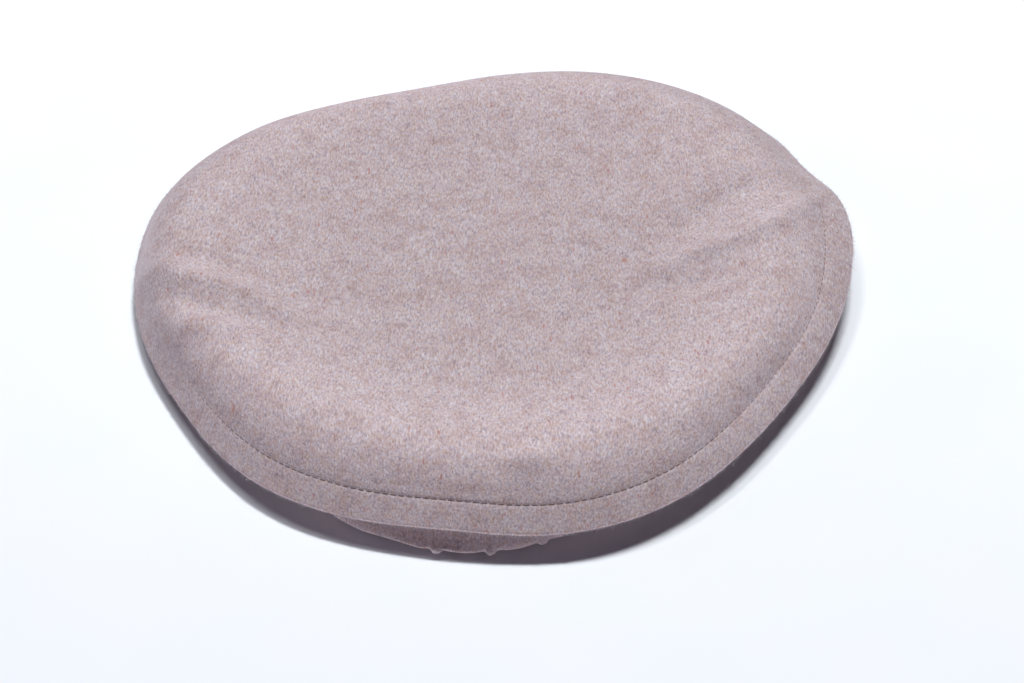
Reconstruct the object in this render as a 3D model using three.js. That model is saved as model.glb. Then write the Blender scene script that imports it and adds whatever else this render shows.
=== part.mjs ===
// A soft round wool cap, lying on its rolled brim. Millimetres, +Z up, front towards -Y.
//
// A flat round crown and a side band are stitched together near their cut edges, which stand
// out all round as a two-layer flange. The side band runs in under the crown, down the oval
// head opening, and then round and round itself as the rolled brim that the cap rests on.
//
// Every layer is first drawn as a section of an even, round cap. One settling rule then moves
// all the sections alike into the uneven, slumped cap, so neighbouring layers stay apart.

import * as THREE from "three";

// ---- Driving dimensions ----

const WOOL = 1.6; // thickness of the felted wool cloth
const LINING = 0.5; // thickness of the cotton lining and of the seam tape
const INTERLINING = 0.6; // thickness of the stiffener under the crown
const SWEATBAND = 0.8; // thickness of the sweatband
const THREAD_RADIUS = 0.35;
const CLEARANCE = 0.5; // space between two layers that touch

const EDGE_RADIUS = 138; // mean radius of the cut edges
const FLANGE_WIDTH = 8.5; // from the stitches to the cut edges
const STITCH_RADIUS = EDGE_RADIUS - FLANGE_WIDTH;
const SHOULDER_RADIUS = 110; // mean radius of the crown's highest ring
const WALL_RADIUS = 95; // middle of the side band's cloth round the head opening

// The head opening is an oval, longer from front to back and off centre.
const OPENING = { x: -5, y: -13, halfWidth: 79, halfLength: 102 };

// The upper face of the even crown as [radius, height]: a shallow dish inside the shoulder,
// then the puffed slope down to the stitches, then the flange, which slopes down as well.
const CROWN_TOP = [
  [0, 19],
  [42, 19.4],
  [72, 21],
  [90, 24],
  [101, 26.2],
  [SHOULDER_RADIUS, 27],
  [117, 25.7],
  [124, 22],
  [STITCH_RADIUS, 17.2],
  [134, 13.6],
  [EDGE_RADIUS, 10.3],
];
const crownHeights = new THREE.CubicInterpolant(
  CROWN_TOP.map(([radius]) => radius),
  CROWN_TOP.map(([, height]) => height),
  1,
);

// Nominal radii where the cloth of the crown and the flange bends.
const LINING_EDGE = 88; // where the layers inside the crown end
const STATIONS = [0, 36, 64, 78, LINING_EDGE, WALL_RADIUS, 101, 107, 113, 118, 124, STITCH_RADIUS, 134, EDGE_RADIUS];

// In a section, the brim lies below CEILING. Above it come the bobbin thread, the side band
// and the crown, whose upper face is at CROWN_LEVEL.
const CEILING = 18;
const SIDE_BAND_LEVEL = CEILING + 2 * THREAD_RADIUS + CLEARANCE;
const CROWN_LEVEL = SIDE_BAND_LEVEL + WOOL + CLEARANCE + WOOL;
const UPPER_LAYERS = CROWN_LEVEL - CEILING;

// The rolled brim in the section: the outermost turn's half axes, and how it is wound.
const ROLL = {
  halfWidth: 11,
  halfHeight: 8.4,
  pitch: 2.4, // how far each turn lies inside the one before
  woundBefore: 126, // degrees that the wall and the flat underside take up
  turns: 1.7,
  step: 36, // degrees
};

const SIDES = 48; // flat faces round every ring

// The cut edge isn't a true circle: bulges and hollows by compass direction in degrees,
// counter-clockwise from +X, with how far they reach out and how wide they are.
const OUTLINE_BULGES = [
  { direction: 13, reach: 4, width: 13 },
  { direction: 28, reach: -3.8, width: 5 },
  { direction: 45, reach: 15.5, width: 24 },
  { direction: 108, reach: -9.5, width: 16 },
  { direction: 156, reach: 9, width: 18 },
  { direction: 212, reach: -3.7, width: 13 },
  { direction: 235, reach: 1.1, width: 11 },
  { direction: 265, reach: -2.7, width: 12 },
  { direction: 285, reach: 2.5, width: 13 },
  { direction: 326, reach: -7, width: 17 },
];

// The crown's shoulder has slid out at the right back and at the left, and in at the back,
// where it is lower as well.
const SHOULDER_SHIFTS = [
  { direction: 50, reach: 10, width: 22 },
  { direction: 105, reach: -6, width: 26 },
  { direction: 170, reach: 12, width: 28 },
];
const SHOULDER_LIFTS = [{ direction: 105, reach: -2.5, width: 42 }];

// At the left front, the slope outside the shoulder has sunk, and the flange with it.
const SLUMPS = [{ direction: 218, reach: 1.5, width: 18 }];

// The flange hangs down more at the back and at the left, and lies flatter at the right.
const FLANGE_DROOPS = [
  { direction: 8, reach: -5, width: 14 },
  { direction: 58, reach: 2.5, width: 16 },
  { direction: 100, reach: 3, width: 28 },
  { direction: 188, reach: 4.5, width: 26 },
];
const WIDTH_LOST_TO_DROOP = 0.75; // a flange that hangs down reaches out less
const EDGE_SLANT = 0.6; // how far a lower layer's edge stands in, for each millimetre below

// ---- The settling rule ----

const { euclideanModulo, smoothstep, mapLinear, radToDeg, degToRad } = THREE.MathUtils;

function bulge(list, degrees) {
  let sum = 0;
  for (const { direction, reach, width } of list) {
    const away = euclideanModulo(degrees - direction + 180, 360) - 180;
    sum += reach * Math.exp(-0.5 * (away / width) ** 2);
  }
  return sum;
}

function edgeRadius(degrees) {
  return EDGE_RADIUS + bulge(OUTLINE_BULGES, degrees);
}

function stitchRadius(degrees) {
  const lost = WIDTH_LOST_TO_DROOP * bulge(FLANGE_DROOPS, degrees);
  return edgeRadius(degrees) - FLANGE_WIDTH + lost;
}

function shoulderRadius(degrees) {
  return SHOULDER_RADIUS + bulge(SHOULDER_SHIFTS, degrees);
}

// Where a line from the cap's middle meets the oval head opening.
function openingRadius(degrees) {
  const across = Math.cos(degToRad(degrees)) / OPENING.halfWidth;
  const along = Math.sin(degToRad(degrees)) / OPENING.halfLength;
  const x = OPENING.x / OPENING.halfWidth;
  const y = OPENING.y / OPENING.halfLength;
  const square = across ** 2 + along ** 2;
  const half = across * x + along * y;
  return (half + Math.sqrt(half ** 2 - square * (x ** 2 + y ** 2 - 1))) / square;
}

// The height of the settled crown's upper face.
function crownTop(radius, degrees) {
  const shoulder = shoulderRadius(degrees);
  const stitch = stitchRadius(degrees);
  const edge = edgeRadius(degrees);
  let even;
  if (radius < shoulder) {
    even = mapLinear(radius, 0, shoulder, 0, SHOULDER_RADIUS);
  } else if (radius < stitch) {
    even = mapLinear(radius, shoulder, stitch, SHOULDER_RADIUS, STITCH_RADIUS);
  } else {
    even = mapLinear(radius, stitch, edge, STITCH_RADIUS, EDGE_RADIUS);
  }
  const lift = bulge(SHOULDER_LIFTS, degrees) * smoothstep(even, 30, SHOULDER_RADIUS);
  const settledLift = lift * (1 - smoothstep(even, SHOULDER_RADIUS, STITCH_RADIUS));
  const droop = bulge(FLANGE_DROOPS, degrees) * smoothstep(even, STITCH_RADIUS - 6, EDGE_RADIUS);
  const slump = bulge(SLUMPS, degrees) * smoothstep(even, SHOULDER_RADIUS, STITCH_RADIUS);
  return crownHeights.evaluate(even)[0] + settledLift - droop - slump;
}

// The crown and the layer under it stretch between the opening, the stitches and the edge.
function upperRadius(nominal, degrees) {
  const opening = openingRadius(degrees);
  const stitch = stitchRadius(degrees);
  if (nominal < WALL_RADIUS) {
    return mapLinear(nominal, 0, WALL_RADIUS, 0, opening);
  }
  if (nominal < STITCH_RADIUS) {
    return mapLinear(nominal, WALL_RADIUS, STITCH_RADIUS, opening, stitch);
  }
  return mapLinear(nominal, STITCH_RADIUS, EDGE_RADIUS, stitch, edgeRadius(degrees));
}

// Below the ceiling, the brim and the linings keep their distance from the head opening.
// On the sloping flange, the cut edges of both layers are square to the slope.
function settle(nominal, level, degrees) {
  const isUpper = level > CEILING;
  const depth = CROWN_LEVEL - level;
  const slant = EDGE_SLANT * depth * smoothstep(nominal, STITCH_RADIUS, EDGE_RADIUS);
  const radius = isUpper
    ? upperRadius(nominal, degrees) - slant
    : openingRadius(degrees) + nominal - WALL_RADIUS;
  const ceiling = crownTop(radius, degrees) - UPPER_LAYERS;
  const height = isUpper ? ceiling + level - CEILING : (ceiling * level) / CEILING;
  const angle = degToRad(degrees);
  return new THREE.Vector3(radius * Math.cos(angle), radius * Math.sin(angle), height);
}

function settleGeometry(geometry) {
  const corners = geometry.attributes.position;
  for (let index = 0; index < corners.count; index += 1) {
    const x = corners.getX(index);
    const y = corners.getY(index);
    const degrees = radToDeg(Math.atan2(y, x));
    const settled = settle(Math.hypot(x, y), corners.getZ(index), degrees);
    corners.setXYZ(index, settled.x, settled.y, settled.z);
  }
  geometry.computeVertexNormals();
}

// ---- Rings and discs of cloth and thread ----

// Moves an open line of points to its left by an amount.
function offsetLine(line, amount) {
  return line.map((point, index) => {
    const before = line[Math.max(index - 1, 0)];
    const after = line[Math.min(index + 1, line.length - 1)];
    const run = new THREE.Vector2().subVectors(after, before).normalize();
    return new THREE.Vector2(point.x - run.y * amount, point.y + run.x * amount);
  });
}

// The outline of a strip of cloth along its middle line, closed on itself.
function stripSection(line, thickness) {
  const right = offsetLine(line, -thickness / 2);
  const left = offsetLine(line, thickness / 2).reverse();
  return [...right, ...left, right[0].clone()];
}

// A disc that reaches out to a radius, with its upper face a given depth below the crown's.
function discSection(depth, thickness, outermost) {
  const radii = [...STATIONS.filter((radius) => radius < outermost), outermost];
  const upper = CROWN_LEVEL - depth;
  const lower = upper - thickness;
  const outwards = radii.map((radius) => new THREE.Vector2(radius, lower));
  const inwards = radii.reverse().map((radius) => new THREE.Vector2(radius, upper));
  return [...outwards, ...inwards];
}

// The diamond section of a ring of thread.
function threadSection(radius, level) {
  const [right, top, left, bottom] = [
    new THREE.Vector2(radius + THREAD_RADIUS, level),
    new THREE.Vector2(radius, level + THREAD_RADIUS),
    new THREE.Vector2(radius - THREAD_RADIUS, level),
    new THREE.Vector2(radius, level - THREAD_RADIUS),
  ];
  return [right, top, left, bottom, right.clone()];
}

// Splits every four-sided facet from its inner corner at one side to its outer corner at the
// other, whichever way the section runs, so that two facing layers bend alike.
function splitFacetsAlike(geometry, section) {
  const triangles = [];
  for (let side = 0; side < SIDES; side += 1) {
    for (let place = 0; place < section.length - 1; place += 1) {
      const near = side * section.length + place;
      const far = near + section.length;
      if (section[place + 1].x >= section[place].x) {
        triangles.push(near, far, near + 1, far + 1, near + 1, far);
      } else {
        triangles.push(near, far, far + 1, near, far + 1, near + 1);
      }
    }
  }
  geometry.setIndex(triangles);
}

// Turns a section round the vertical axis and settles every corner of it.
function revolve(section) {
  const geometry = new THREE.LatheGeometry(section, SIDES);
  splitFacetsAlike(geometry, section);
  geometry.rotateX(Math.PI / 2);
  settleGeometry(geometry);
  return geometry;
}

function piece(name, geometry, colour, roughness) {
  const material = new THREE.MeshStandardMaterial({ color: colour, roughness, metalness: 0 });
  const mesh = new THREE.Mesh(geometry, material);
  mesh.name = name;
  return mesh;
}

// ---- The side band's long line ----

// In from the cut edge under the crown, down round the head opening, and out along the floor.
function sideBandLine() {
  const level = SIDE_BAND_LEVEL + WOOL / 2;
  const flange = STATIONS.filter((radius) => radius > WALL_RADIUS + 4).reverse();
  const floor = WOOL / 2;
  const wall = [
    [96.2, 17.4],
    [WALL_RADIUS, 12],
    [95.4, 6],
    [97.6, 2],
    [101, floor],
    [104, floor],
    [108, floor],
    [110, floor],
  ];
  return [
    ...flange.map((radius) => new THREE.Vector2(radius, level)),
    ...wall.map(([radius, height]) => new THREE.Vector2(radius, height)),
    ...rollLine(),
  ];
}

// The turns of the rolled brim, each a little inside the one before.
function rollLine() {
  const middle = new THREE.Vector2(WALL_RADIUS + ROLL.halfWidth, WOOL / 2 + ROLL.halfHeight);
  const line = [];
  const steps = Math.round((ROLL.turns * 360) / ROLL.step);
  for (let index = 0; index <= steps; index += 1) {
    const turned = index * ROLL.step;
    const wound = ROLL.woundBefore + turned;
    const inset = (ROLL.pitch * wound) / 360;
    const angle = degToRad(wound - 180);
    line.push(
      new THREE.Vector2(
        middle.x + (ROLL.halfWidth - inset) * Math.cos(angle),
        middle.y + (ROLL.halfHeight - inset) * Math.sin(angle),
      ),
    );
  }
  return line;
}

// ---- The sub-parts ----

const WOOL_COLOUR = 0xb3a4a2;
const LINING_COLOUR = 0x8c8480;
const THREAD_COLOUR = 0x77696a;

const INTERLINING_DEPTH = WOOL + CLEARANCE;
const CROWN_LINING_DEPTH = INTERLINING_DEPTH + INTERLINING + CLEARANCE;
const TAPE_RADIUS = WALL_RADIUS - WOOL / 2 - CLEARANCE - LINING / 2;
const LINING_RADIUS = TAPE_RADIUS - LINING - CLEARANCE;
const SWEATBAND_RADIUS = LINING_RADIUS - LINING / 2 - CLEARANCE - SWEATBAND / 2;

function crownPanel() {
  const section = discSection(0, WOOL, EDGE_RADIUS);
  return piece("crown_panel", revolve(section), WOOL_COLOUR, 0.95);
}

function sideBand() {
  const section = stripSection(sideBandLine(), WOOL);
  return piece("side_band", revolve(section), WOOL_COLOUR, 0.95);
}

function crownInterlining() {
  const section = discSection(INTERLINING_DEPTH, INTERLINING, LINING_EDGE);
  return piece("crown_interlining", revolve(section), 0xe6e2dc, 0.9);
}

function crownLining() {
  const section = discSection(CROWN_LINING_DEPTH, LINING, LINING_EDGE);
  return piece("crown_lining", revolve(section), LINING_COLOUR, 0.8);
}

// The strip that covers the inside of the side band, clear of the brim's curved foot.
function sideLining() {
  const line = [
    new THREE.Vector2(LINING_RADIUS, 16),
    new THREE.Vector2(LINING_RADIUS - 0.3, 11),
    new THREE.Vector2(LINING_RADIUS, 5),
  ];
  return piece("side_lining", revolve(stripSection(line, LINING)), LINING_COLOUR, 0.8);
}

function sweatband() {
  const line = [
    new THREE.Vector2(SWEATBAND_RADIUS - 0.1, 14),
    new THREE.Vector2(SWEATBAND_RADIUS - 0.4, 9),
    new THREE.Vector2(SWEATBAND_RADIUS, 2.6),
  ];
  return piece("sweatband", revolve(stripSection(line, SWEATBAND)), 0x6d5a4c, 0.7);
}

// A seam holds one thread above the flange and a bobbin thread below it.
function rimTopstitch() {
  const level = CROWN_LEVEL + CLEARANCE + THREAD_RADIUS;
  const section = threadSection(STITCH_RADIUS, level);
  return piece("rim_topstitch", revolve(section), THREAD_COLOUR, 0.8);
}

function rimBobbinThread() {
  const level = SIDE_BAND_LEVEL - CLEARANCE - THREAD_RADIUS + 0.01;
  const section = threadSection(STITCH_RADIUS, level);
  return piece("rim_bobbin_thread", revolve(section), THREAD_COLOUR, 0.8);
}

// The thread that joins the crown lining to the side lining, in the corner between them.
function liningSeamThread() {
  const section = threadSection(LINING_RADIUS - 0.9, 17.2);
  return piece("lining_seam_thread", revolve(section), 0x7d7470, 0.8);
}

function sweatbandStitch() {
  const inside = SWEATBAND_RADIUS - SWEATBAND / 2 - CLEARANCE - THREAD_RADIUS;
  return piece("sweatband_stitch", revolve(threadSection(inside, 4)), 0x5c4b40, 0.8);
}

// The tape over the side band's upright seam, at the back between the wool and the lining.
function sideSeamTape() {
  const width = 12;
  const lowest = 5;
  const highest = 15.5;
  const start = Math.PI / 2 - width / 2 / TAPE_RADIUS;
  const finish = Math.PI / 2 + width / 2 / TAPE_RADIUS;
  const outline = new THREE.Shape();
  outline.absarc(0, 0, TAPE_RADIUS + LINING / 2, start, finish, false);
  outline.absarc(0, 0, TAPE_RADIUS - LINING / 2, finish, start, true);
  const geometry = new THREE.ExtrudeGeometry(outline, {
    depth: highest - lowest,
    bevelEnabled: false,
    curveSegments: 3,
  });
  geometry.translate(0, 0, lowest);
  settleGeometry(geometry);
  return piece("side_seam_tape", geometry, 0xa79a94, 0.85);
}

// ---- The whole cap ----

function wholeCap() {
  const cap = new THREE.Group();
  cap.add(crownPanel(), crownInterlining(), crownLining());
  cap.add(sideBand(), sideSeamTape(), sideLining(), sweatband());
  cap.add(rimTopstitch(), rimBobbinThread(), liningSeamThread(), sweatbandStitch());
  const middle = new THREE.Box3().setFromObject(cap).getCenter(new THREE.Vector3());
  cap.position.set(-middle.x, -middle.y, 0);
  cap.updateMatrixWorld(true);
  return cap;
}

export default wholeCap();
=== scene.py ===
"""A soft round wool cap with a stitched flange and a rolled brim, lying on a pale floor.

The cap is worked out in millimetres in its own frame, and written in metres in the row frame.
Each layer is drawn as a section of an even, round cap: a line of [nominal radius, level] points.
One settling rule, the same as the CAD model's, carries the sections into the slumped cap.
"""

import math

import bpy
import numpy as np
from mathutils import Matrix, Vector, noise


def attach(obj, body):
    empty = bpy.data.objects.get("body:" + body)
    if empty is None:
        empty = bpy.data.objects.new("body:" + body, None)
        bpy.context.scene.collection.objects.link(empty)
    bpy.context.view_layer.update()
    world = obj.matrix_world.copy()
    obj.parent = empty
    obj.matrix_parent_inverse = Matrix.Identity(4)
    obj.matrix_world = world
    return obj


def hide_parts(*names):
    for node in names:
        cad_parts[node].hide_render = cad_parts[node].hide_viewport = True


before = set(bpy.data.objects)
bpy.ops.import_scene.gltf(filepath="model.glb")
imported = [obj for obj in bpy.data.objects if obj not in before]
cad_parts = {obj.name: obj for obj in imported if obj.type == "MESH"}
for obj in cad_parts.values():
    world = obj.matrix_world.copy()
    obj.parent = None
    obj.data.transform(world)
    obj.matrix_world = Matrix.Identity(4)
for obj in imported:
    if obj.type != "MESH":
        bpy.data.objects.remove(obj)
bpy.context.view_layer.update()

MM = 0.001  # metres in a millimetre

# ---- The cap's dimensions, the same as the CAD model's, in millimetres ----

WOOL = 1.6
LINING = 0.5
INTERLINING = 0.6
SWEATBAND = 0.8
THREAD_RADIUS = 0.35
CLEARANCE = 0.5
EDGE_RADIUS = 138.0
FLANGE_WIDTH = 8.5
STITCH_RADIUS = EDGE_RADIUS - FLANGE_WIDTH
SHOULDER_RADIUS = 110.0
WALL_RADIUS = 95.0
LINING_EDGE = 88.0

# In a section the wall and the rolled brim lie below CEILING, and the flange and the crown above it.
CEILING = 18.0
SIDE_BAND_LEVEL = CEILING + 2 * THREAD_RADIUS + CLEARANCE
CROWN_LEVEL = SIDE_BAND_LEVEL + WOOL + CLEARANCE + WOOL
UPPER_LAYERS = CROWN_LEVEL - CEILING

OPENING_MIDDLE = (-5.0, -13.0)
OPENING_HALVES = (79.0, 102.0)

# The upper face of the even crown as (radius, height).
CROWN_TOP = [
    (0, 19), (42, 19.4), (72, 21), (90, 24), (101, 26.2), (SHOULDER_RADIUS, 27),
    (117, 25.7), (124, 22), (STITCH_RADIUS, 17.2), (134, 13.6), (EDGE_RADIUS, 10.3),
]

# Bulges by compass direction, counter-clockwise from +X: (degrees, reach, width in degrees).
OUTLINE_BULGES = [
    (13, 4, 13), (28, -3.8, 5), (45, 15.5, 24), (108, -9.5, 16), (156, 9, 18),
    (212, -3.7, 13), (235, 1.1, 11), (265, -2.7, 12), (285, 2.5, 13), (326, -7, 17),
]
SHOULDER_SHIFTS = [(50, 10, 22), (105, -6, 26), (170, 12, 28)]
SHOULDER_LIFTS = [(105, -2.5, 42)]
SLUMPS = [(218, 1.5, 18)]  # the slope outside the shoulder sinks, and the flange with it
FLANGE_DROOPS = [(8, -5, 14), (58, 2.5, 16), (100, 3, 28), (188, 4.5, 26)]
WIDTH_LOST_TO_DROOP = 0.75
EDGE_SLANT = 0.6  # the edges of the lower layers stand in, because the flange slopes

# The rolled brim: the outermost turn's half axes, and how it is wound, in degrees and turns.
ROLL_HALF_WIDTH = 11.0
ROLL_HALF_HEIGHT = 8.4
ROLL_PITCH = 2.4  # how far each turn lies inside the one before
ROLL_WOUND_BEFORE = 126.0
ROLL_TURNS = 1.7
ROLL_MIDDLE = (WALL_RADIUS + ROLL_HALF_WIDTH, WOOL / 2 + ROLL_HALF_HEIGHT)

# ---- What the finished cloth adds ----

# Soft creases of the crown: (points along the crest in plan, rise, half width).
CREASES = [
    ([(-137, -3), (-118, -19), (-103, -22), (-91, -26), (-79, -34), (-69, -38)], 2.8, 4.5),
    ([(-128, 1), (-108, -7), (-94, -11)], -1.4, 5),
    ([(-132, -19), (-111, -34), (-97, -38), (-80, -44)], -2.0, 5),
    ([(-124, -42), (-110, -46), (-92, -49)], 1.8, 4.5),
    ([(62, -9), (77, -1), (99, 7), (114, 15), (128, 33), (136, 47)], 3.0, 5),
    ([(66, 12), (84, 25), (102, 38), (119, 44)], -3.6, 9),
    ([(60, -18), (78, -18), (94, -10)], -1.6, 6),
    ([(52, 110), (72, 96), (91, 80)], 2.0, 6),
    ([(8, -116), (22, -116)], 2.2, 4.5),
]

UNDULATION = 0.36  # how far the cloth wanders up and down, and over what distance
UNDULATION_SIZE = 34.0

# Where the two cut edges of the flange part from each other: (degrees, gap, width in degrees).
FLANGE_GAPS = [(203, 1.5, 13), (262, 0.35, 30), (20, 0.5, 40), (120, 0.7, 25)]
CROWN_RISE_IN_GAP = 0.55  # shares of the gap
SIDE_BAND_SINK_IN_GAP = 0.45

STITCH_PITCH = 2.9
STITCH_GAP = 0.25
STITCH_GROOVE = 0.3  # depth of the groove that the topstitch pulls into the cloth
STITCH_GROOVE_WIDTH = 0.65
# The nap closes over the topstitch, most at the back and the left: (degrees, share, width).
NAP_OVER_STITCHES = [(50, 0.8, 22), (110, 0.9, 36), (180, 0.9, 26), (330, 0.3, 18)]
STITCH_PUFF = 0.14  # the cloth swells a little on both sides of the groove

# The side band is gathered into the rolled brim, so upright pleats stand on the roll.
PLEAT_SPACING = 18.4
PLEAT_SPACING_SPREAD = 2.6
FRONT_PLEATS = (-18.5, 0.6, 19.0)  # plan x of the three pleats at the front
SMOOTH_STRETCH = 62.0  # the brim is smooth for this far to the left of them
PLEAT_HEIGHT = 3.5
LOWEST_PLEAT = 0.75  # as a share of that height
PLEAT_HALF_WIDTH = 1.6
PLEAT_SHARPNESS = 2.4  # 2 makes a bell-shaped pleat, and more makes its sides steeper
PLEAT_LEAN = 0.16  # millimetres round the brim for each millimetre of height
PUFF_HEIGHT = 2.0  # the brim swells between two pleats
PUFF_FLATNESS = 0.65  # 1 makes a round swelling, and less a flatter one

# How many columns the even meshes have round the cap, and the step for measuring round it.
CROWN_COLUMNS = 400
INNER_DISC_COLUMNS = 180
INNER_RING_COLUMNS = 240
FINE_STEP = 0.05  # degrees


# ---- Numbers ----

def smoothstep(x, low, high):
    """Rises smoothly from 0 at low to 1 at high."""
    t = np.clip((x - low) / (high - low), 0.0, 1.0)
    return t * t * (3 - 2 * t)


def bulge(rows, degrees):
    """The sum of the rows' bell-shaped bulges, each (direction, reach, width), at the directions."""
    total = np.zeros_like(degrees, dtype=float)
    for direction, reach, width in rows:
        away = (degrees - direction + 180) % 360 - 180
        total += reach * np.exp(-0.5 * (away / width) ** 2)
    return total


def smooth_through(stations, x):
    """The smooth curve through (x, y) stations, each slope set by the two stations beside it."""
    xs, ys = np.array(stations, dtype=float).T
    slopes = np.empty_like(ys)
    slopes[1:-1] = (ys[2:] - ys[:-2]) / (xs[2:] - xs[:-2])
    slopes[0] = (ys[1] - ys[0]) / (xs[1] - xs[0])
    slopes[-1] = (ys[-1] - ys[-2]) / (xs[-1] - xs[-2])
    place = np.clip(np.searchsorted(xs, x, side="right") - 1, 0, len(xs) - 2)
    width = xs[place + 1] - xs[place]
    t = np.clip((x - xs[place]) / width, 0.0, 1.0)
    start = (1 + 2 * t) * (1 - t) ** 2 * ys[place] + t * (1 - t) ** 2 * width * slopes[place]
    end = t * t * (3 - 2 * t) * ys[place + 1] - t * t * (1 - t) * width * slopes[place + 1]
    return start + end


def between_knots(x, xs, ys):
    """Straight stretches from knot to knot, where the knots may differ from point to point."""
    result = ys[0] + (x - xs[0]) / (xs[1] - xs[0]) * (ys[1] - ys[0])
    for low in range(1, len(xs) - 1):
        stretch = ys[low] + (x - xs[low]) / (xs[low + 1] - xs[low]) * (ys[low + 1] - ys[low])
        result = np.where(x > xs[low], stretch, result)
    return result


def unit(vectors):
    return vectors / np.linalg.norm(vectors, axis=-1, keepdims=True)


def wander(x, y, size, seed):
    """Smooth noise from about -1 to 1, with features about as large as size."""
    places = zip(np.ravel(x) / size, np.ravel(y) / size)
    values = [noise.noise(Vector((a, b, seed))) for a, b in places]
    return 2 * np.array(values).reshape(np.shape(x))


# ---- The settling rule ----

def edge_radius(degrees):
    return EDGE_RADIUS + bulge(OUTLINE_BULGES, degrees)


def stitch_radius(degrees):
    return edge_radius(degrees) - FLANGE_WIDTH + WIDTH_LOST_TO_DROOP * bulge(FLANGE_DROOPS, degrees)


def shoulder_radius(degrees):
    return SHOULDER_RADIUS + bulge(SHOULDER_SHIFTS, degrees)


def opening_radius(degrees):
    """Where a line from the cap's middle meets the oval head opening."""
    across = np.cos(np.radians(degrees)) / OPENING_HALVES[0]
    along = np.sin(np.radians(degrees)) / OPENING_HALVES[1]
    x = OPENING_MIDDLE[0] / OPENING_HALVES[0]
    y = OPENING_MIDDLE[1] / OPENING_HALVES[1]
    square = across**2 + along**2
    half = across * x + along * y
    return (half + np.sqrt(half**2 - square * (x * x + y * y - 1))) / square


def outline_middle():
    """The middle of the box round the cap's outline, which the CAD model puts on the origin."""
    degrees = np.arange(0, 360, 7.5)  # the corners of the CAD model's outline
    x = edge_radius(degrees) * np.cos(np.radians(degrees))
    y = edge_radius(degrees) * np.sin(np.radians(degrees))
    return (x.max() + x.min()) / 2, (y.max() + y.min()) / 2


MIDDLE_X, MIDDLE_Y = outline_middle()


def crease_heights(x, y):
    """How far the creases lift or lower the crown at places in plan."""
    total = np.zeros_like(x)
    for crest, rise, width in CREASES:
        nearest = np.full_like(x, 1e9)
        share = np.zeros_like(x)
        run = [math.dist(a, b) for a, b in zip(crest, crest[1:])]
        for index, ((ax, ay), (bx, by)) in enumerate(zip(crest, crest[1:])):
            along = ((x - ax) * (bx - ax) + (y - ay) * (by - ay)) / run[index] ** 2
            along = np.clip(along, 0, 1)
            away = np.hypot(x - ax - along * (bx - ax), y - ay - along * (by - ay))
            so_far = (sum(run[:index]) + along * run[index]) / sum(run)
            share = np.where(away < nearest, so_far, share)
            nearest = np.minimum(nearest, away)
        swell = np.sin(np.pi * (0.1 + 0.8 * share))
        total += rise * swell * np.exp(-((nearest / width) ** 2))
    return total


def crown_height(radius, degrees):
    """The height of the settled crown's upper face."""
    knots = [0 * degrees, shoulder_radius(degrees), stitch_radius(degrees), edge_radius(degrees)]
    even = between_knots(radius, knots, [0.0, SHOULDER_RADIUS, STITCH_RADIUS, EDGE_RADIUS])
    lift = bulge(SHOULDER_LIFTS, degrees) * smoothstep(even, 30, SHOULDER_RADIUS)
    lift = lift * (1 - smoothstep(even, SHOULDER_RADIUS, STITCH_RADIUS))
    droop = bulge(FLANGE_DROOPS, degrees) * smoothstep(even, STITCH_RADIUS - 6, EDGE_RADIUS)
    slump = bulge(SLUMPS, degrees) * smoothstep(even, SHOULDER_RADIUS, STITCH_RADIUS)
    x = radius * np.cos(np.radians(degrees))
    y = radius * np.sin(np.radians(degrees))
    wave = UNDULATION * wander(x, y, UNDULATION_SIZE, 3.0)
    return smooth_through(CROWN_TOP, even) + lift - droop - slump + crease_heights(x, y) + wave


def upper_radius(nominal, degrees):
    """The crown and the flange stretch between the opening, the stitches and the edge."""
    knots = [0 * degrees, opening_radius(degrees), stitch_radius(degrees), edge_radius(degrees)]
    return between_knots(nominal, [0.0, WALL_RADIUS, STITCH_RADIUS, EDGE_RADIUS], knots)


def settle(nominal, level, degrees):
    """Carries section points into the settled cap, as (radius, height) in millimetres."""
    upper = smoothstep(level, CEILING - 1.5, CEILING + 0.2)
    slant = EDGE_SLANT * (CROWN_LEVEL - level) * smoothstep(nominal, STITCH_RADIUS, EDGE_RADIUS)
    stretched_radius = upper_radius(nominal, degrees) - slant
    kept_radius = opening_radius(degrees) + nominal - WALL_RADIUS
    radius = stretched_radius * upper + kept_radius * (1 - upper)
    ceiling = crown_height(radius, degrees) - UPPER_LAYERS
    height = np.where(level > CEILING, ceiling + level - CEILING, ceiling * level / CEILING)
    return radius, height


def flange_opening(nominal, degrees):
    """How far apart the two cut edges stand beyond their usual clearance."""
    return bulge(FLANGE_GAPS, degrees) * smoothstep(nominal, STITCH_RADIUS + 2, EDGE_RADIUS)


def in_row_frame(radius, height, degrees):
    """Points in metres in the row frame."""
    x = radius * np.cos(np.radians(degrees)) - MIDDLE_X
    y = radius * np.sin(np.radians(degrees)) - MIDDLE_Y
    return np.stack(np.broadcast_arrays(x, y, height), axis=-1) * MM


# ---- Meshes ----

def put_in_scene(name, data):
    thing = bpy.data.objects.new(name, data)
    bpy.context.scene.collection.objects.link(thing)
    return thing


def new_piece(name, points, faces, replaced, materials):
    """Makes a closed mesh whose faces point out, and puts it on the cap."""
    mesh = bpy.data.meshes.new(name)
    mesh.from_pydata(np.asarray(points).tolist(), [], [list(face) for face in faces])
    mesh.validate()
    turn_faces_out(mesh)
    mesh.polygons.foreach_set("use_smooth", [True] * len(mesh.polygons))
    piece = put_in_scene(name, mesh)
    for material in materials:
        mesh.materials.append(material)
    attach(piece, "root")
    if replaced:
        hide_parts(*replaced)
    return piece


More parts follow.
